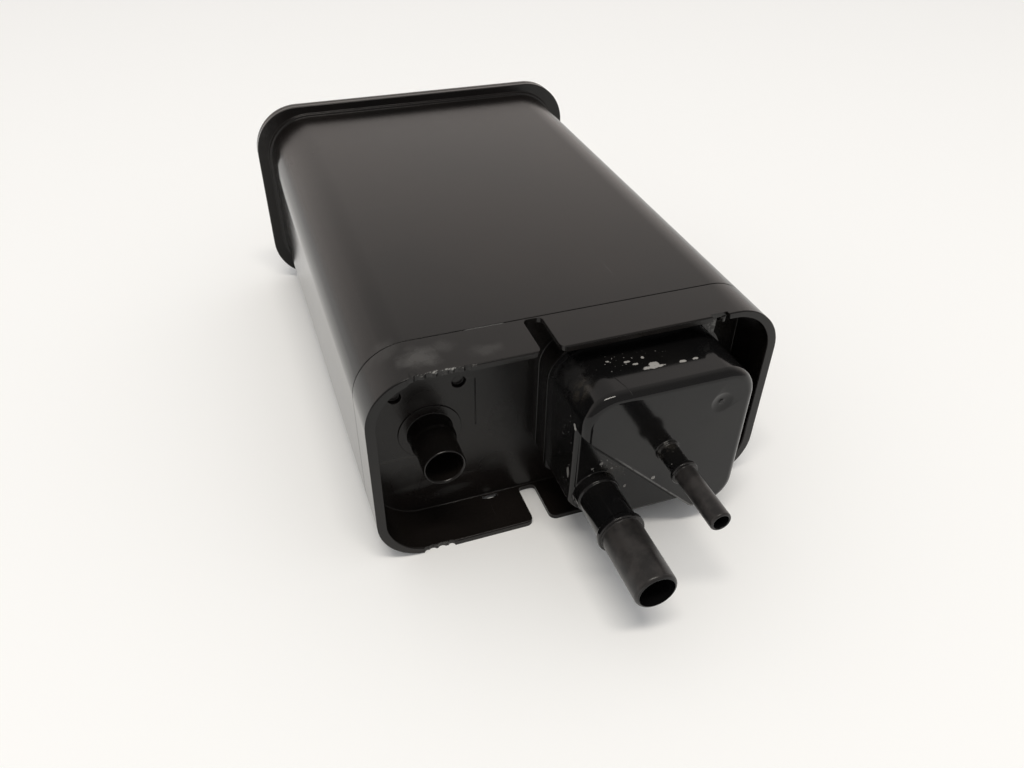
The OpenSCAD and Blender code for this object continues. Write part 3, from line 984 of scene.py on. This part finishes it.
@dataclass
class Moulding:
    """A moulded piece: a CAD node's shape with its sharp edges softened."""

    node: str
    slot: str
    weld: float = 0.002 * MM
    flat: float = math.radians(0.2)
    edge: float = 0.45 * MM
    edge_steps: int = 2
    sharp: float = math.radians(38.0)
    turn: float = math.radians(40.0)
    sample: float = 0.5 * MM
    ragged: tuple[Blot, ...] = (
        Blot((-52.5, 0.0, 42.0), (14.0, 4.0, 5.0)),
        Blot((-56.0, 0.0, -42.0), (9.0, 4.0, 5.0)),
        Blot((50.0, 4.0, 38.0), (10.0, 6.0, 9.0)),
    )
    ragged_weight: float = 0.011
    room_share: float = 0.42
    end_share: float = 0.9
    least_weight: float = 0.02

    def build(
        self, frame: dict[str, Any], pose: LaidPose, material: bpy.types.Material
    ) -> bpy.types.Object:
        """Make the softened piece in place of its node.

        Args:
            frame: The loaded frame.
            pose: How the canister lies.
            material: The finish of the piece.

        Returns:
            The new object.
        """
        mesh = frame["nodes"][self.node].data.copy()
        mesh.name = f"{self.node}_moulding"
        self.merge(mesh, pose)
        mesh.materials.clear()
        mesh.materials.append(material)
        piece = bpy.data.objects.new(mesh.name, mesh)
        bpy.context.collection.objects.link(piece)
        self.soften(piece)
        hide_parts(self.node)
        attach(piece, ROOT)
        return piece

    def merge(self, mesh: bpy.types.Mesh, pose: LaidPose) -> None:
        """Join the loose triangles, clear the flat seams between them and weigh the edges.

        Args:
            mesh: The copied mesh.
            pose: How the canister lies.
        """
        work = bmesh.new()
        work.from_mesh(mesh)
        bmesh.ops.remove_doubles(work, verts=work.verts, dist=self.weld)
        bmesh.ops.dissolve_limit(work, angle_limit=self.flat, verts=work.verts, edges=work.edges)
        bmesh.ops.connect_verts_concave(work, faces=work.faces)
        self.weigh_edges(work, pose)
        work.to_mesh(mesh)
        work.free()
        mesh.shade_smooth()

    def weigh_edges(self, work: bmesh.types.BMesh, pose: LaidPose) -> None:
        """Weigh each sharp edge by the room it has, so that no rounding runs into another.

        Args:
            work: The merged mesh.
            pose: How the canister lies.
        """
        layer = work.edges.layers.float.new("bevel_weight_edge")
        work.verts.index_update()
        work.edges.index_update()
        sharp = [e for e in work.edges if e.is_manifold and e.calc_face_angle(0.0) > self.sharp]
        chains = EdgeChains(sharp, self.turn)
        for edge in sharp:
            room = min(self.end_room(edge, vertex, chains) for vertex in edge.verts)
            edge[layer] = max(self.least_weight, min(1.0, room / self.edge))
        self.keep_apart(sharp, chains, layer)
        to_canister = pose.matrix().inverted()
        for edge in sharp:
            ends = [to_canister @ vertex.co for vertex in edge.verts]
            if any(all(zone.holds(end) for end in ends) for zone in self.ragged):
                edge[layer] = self.ragged_weight
        least: dict[int, float] = {}
        for edge in sharp:
            root = chains.root(edge.index)
            least[root] = min(edge[layer], least.get(root, 1.0))
        for edge in sharp:
            edge[layer] = least[chains.root(edge.index)]

    def keep_apart(
        self, sharp: list[bmesh.types.BMEdge], chains: EdgeChains, layer: bmesh.types.BMLayerItem
    ) -> None:
        """Narrow the rounding of each sharp edge that passes close to another chain.

        Args:
            sharp: The sharp edges.
            chains: Chains of the sharp edges.
            layer: Layer that holds the weights.
        """
        points: list[tuple[Vector, bmesh.types.BMEdge]] = []
        for edge in sharp:
            start, end = (vertex.co for vertex in edge.verts)
            steps = max(1, math.ceil(edge.calc_length() / self.sample))
            points.extend((start.lerp(end, step / steps), edge) for step in range(steps + 1))
        tree = KDTree(len(points))
        for number, (point, _) in enumerate(points):
            tree.insert(point, number)
        tree.balance()
        for point, edge in points:
            for _, number, distance in tree.find_range(point, self.edge / self.room_share):
                if chains.apart(edge.index, points[number][1].index):
                    room = self.room_share * distance / self.edge
                    edge[layer] = max(self.least_weight, min(edge[layer], room))

    def end_room(
        self, edge: bmesh.types.BMEdge, vertex: bmesh.types.BMVert, chains: EdgeChains
    ) -> float:
        """Widest rounding that the neighbours at one end of a sharp edge leave room for.

        Args:
            edge: The sharp edge.
            vertex: One of its ends.
            chains: Chains of all the sharp edges.

        Returns:
            The width.
        """
        room = self.edge
        along = edge.other_vert(vertex).co - vertex.co
        for face in edge.link_faces:
            other = next(e for e in face.edges if e is not edge and vertex in e.verts)
            side = other.other_vert(vertex).co - vertex.co
            angle = along.angle(side, 0.0)
            if other.index not in chains.chain:
                room = min(room, self.end_share * side.length * math.sin(angle))
            elif chains.root(edge.index) != chains.root(other.index):
                shorter = min(along.length, side.length)
                room = min(room, self.end_share * shorter * math.tan(angle / 2.0))
        return room

    def soften(self, piece: bpy.types.Object) -> None:
        """Round the sharp edges by their weights and keep flat faces flat.

        Args:
            piece: The new object.
        """
        bevel = piece.modifiers.new("softened_edges", "BEVEL")
        bevel.width = self.edge
        bevel.segments = self.edge_steps
        bevel.limit_method = "WEIGHT"
        bevel.use_clamp_overlap = False
        bevel.harden_normals = False
        weighted = piece.modifiers.new("flat_faces", "WEIGHTED_NORMAL")
        weighted.keep_sharp = False


@dataclass
class Filling:
    """The pieces held inside the canister, which keep their CAD shape."""

    finishes: dict[str, Finish] = field(
        default_factory=lambda: {
            "carbon_bed": CarbonGrains(),
            "screen": OpenFoam(),
            "plate": PlatePlastic(),
            "spring": SpringWire(),
        }
    )

    def dress(self, frame: dict[str, Any], pose: LaidPose) -> list[str]:
        """Give each hidden node its material.

        Args:
            frame: The loaded frame.
            pose: How the canister lies.

        Returns:
            The names of the dressed nodes.
        """
        dressed: list[str] = []
        for word, finish in self.finishes.items():
            material = finish.build(pose)
            for name, node in frame["nodes"].items():
                if word in name:
                    node.data.materials.clear()
                    node.data.materials.append(material)
                    dressed.append(name)
        return dressed


@dataclass(frozen=True)
class Lamp:
    """A soft oblong lamp aimed at the canister."""

    name: str
    place: Triple
    sides: Pair
    power: float
    colour: Triple

    def build(self, target: Vector) -> None:
        """Hang the lamp and aim it.

        Args:
            target: Point that it shines at.
        """
        data = bpy.data.lights.new(self.name, "AREA")
        data.shape = "RECTANGLE"
        data.size, data.size_y = self.sides
        data.energy = self.power
        data.color = self.colour
        lamp = bpy.data.objects.new(self.name, data)
        lamp.location = self.place
        lamp.rotation_euler = (target - Vector(self.place)).to_track_quat("-Z", "Y").to_euler()
        bpy.context.collection.objects.link(lamp)


@dataclass
class Studio:
    """Pale floor, soft light and the camera at the photograph's angle."""

    floor_half: float = 6.0
    floor_colour: Colour = (0.965, 0.966, 0.963, 1.0)
    floor_roughness: float = 0.55
    floor_cloud: Texture = Texture(5.0, 3.0)
    cloud_roughness: float = 0.1
    ambient: Colour = (0.985, 0.985, 0.985, 1.0)
    ambient_strength: float = 0.63
    backdrop: Colour = (0.96, 0.955, 0.945, 1.0)
    walls: Colour = (1.0, 0.92, 0.87, 1.0)
    ceiling: Colour = (0.62, 0.585, 0.56, 1.0)
    near_room: Colour = (0.34, 0.325, 0.315, 1.0)
    ceiling_from: Pair = (0.3, 0.85)
    far_room_from: Pair = (-0.45, 0.2)
    room_strength: float = 1.0
    camera_place: Triple = (-0.1041, -0.3051, 0.2394)
    camera_elevation: float = math.radians(36.467)
    camera_heading: float = math.radians(19.952)
    camera_roll: float = math.radians(0.325)
    lens: float = 28.27
    sensor: float = 36.0
    near_clip: float = 0.01
    lamp_target: Triple = (0.0, -0.02, 0.04)
    lamps: tuple[Lamp, ...] = (
        Lamp("key", (-0.4, -1.3, 4.0), (2.4, 0.55), 81.0, (1.0, 0.95, 0.87)),
    )

    def build(self) -> None:
        """Make the floor, the world, the lamps and the camera."""
        self.lay_floor()
        self.light_world()
        for lamp in self.lamps:
            lamp.build(Vector(self.lamp_target))
        self.set_camera()
        bpy.context.scene.view_settings.view_transform = "Standard"

    def lay_floor(self) -> None:
        """Lay the pale floor at the table plane."""
        sheet = MaterialSheet("pale_floor")
        faint = sheet.noise(sheet.place, self.floor_cloud)
        sheet.finish(self.floor_colour, self.floor_roughness + faint * self.cloud_roughness)
        work = bmesh.new()
        bmesh.ops.create_grid(work, x_segments=1, y_segments=1, size=self.floor_half)
        mesh = bpy.data.meshes.new("floor")
        work.to_mesh(mesh)
        work.free()
        mesh.materials.append(sheet.material)
        floor = bpy.data.objects.new("floor", mesh)
        bpy.context.collection.objects.link(floor)

    def light_world(self) -> None:
        """Fill the world with an even pale light, and show a pale room to the eye and to gloss."""
        world = bpy.data.worlds.new("pale_room")
        world.use_nodes = True
        sheet = NodeSheet(world.node_tree)
        direction = sheet.add("ShaderNodeTexCoord", {}, {}).outputs["Generated"]
        _, ahead, above = sheet.parts(direction)
        far_room = sheet.colour_mix(above.step(*self.ceiling_from), self.walls, self.ceiling)
        tones = sheet.colour_mix(ahead.step(*self.far_room_from), self.near_room, far_room)
        path = sheet.add("ShaderNodeLightPath", {}, {})
        eye = Value(sheet, path.outputs["Is Camera Ray"])
        tones = sheet.colour_mix(eye, tones, self.backdrop)
        seen = eye.most(path.outputs["Is Glossy Ray"])
        ambient = sheet.add(
            "ShaderNodeBackground", {}, {"Color": self.ambient, "Strength": self.ambient_strength}
        )
        room = sheet.add("ShaderNodeBackground", {}, {"Color": tones, "Strength": self.room_strength})
        mix = sheet.add("ShaderNodeMixShader", {}, {0: seen, 1: ambient.outputs[0], 2: room.outputs[0]})
        sheet.add("ShaderNodeOutputWorld", {}, {"Surface": mix.outputs[0]})
        bpy.context.scene.world = world

    def set_camera(self) -> None:
        """Place the camera where the photograph was taken from."""
        data = bpy.data.cameras.new("photo_camera")
        data.sensor_width = self.sensor
        data.lens = self.lens
        data.clip_start = self.near_clip
        camera = bpy.data.objects.new("photo_camera", data)
        look = Euler((math.pi / 2 - self.camera_elevation, 0.0, -self.camera_heading))
        camera.matrix_world = (
            Matrix.Translation(self.camera_place)
            @ look.to_matrix().to_4x4()
            @ Matrix.Rotation(self.camera_roll, 4, "Z")
        )
        bpy.context.collection.objects.link(camera)
        bpy.context.scene.camera = camera


def main() -> None:
    """Build the studio and dress the canister."""
    logging.basicConfig(level=logging.INFO, format="%(name)s: %(message)s")
    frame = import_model()
    pose = LaidPose.from_record(frame["record"])
    Studio().build()
    mouldings = (
        (BodyPlastic(), ("canister_body", "vent_spigot", "base_cover")),
        (CoverPlastic(), ("port_cover",)),
    )
    for finish, nodes in mouldings:
        material = finish.build(pose)
        for node in nodes:
            piece = Moulding(node, finish.name).build(frame, pose, material)
            LOG.info("moulded %s", piece.name)
    for name in Filling().dress(frame, pose):
        LOG.info("dressed %s", name)


if __name__ == "__main__":
    main()
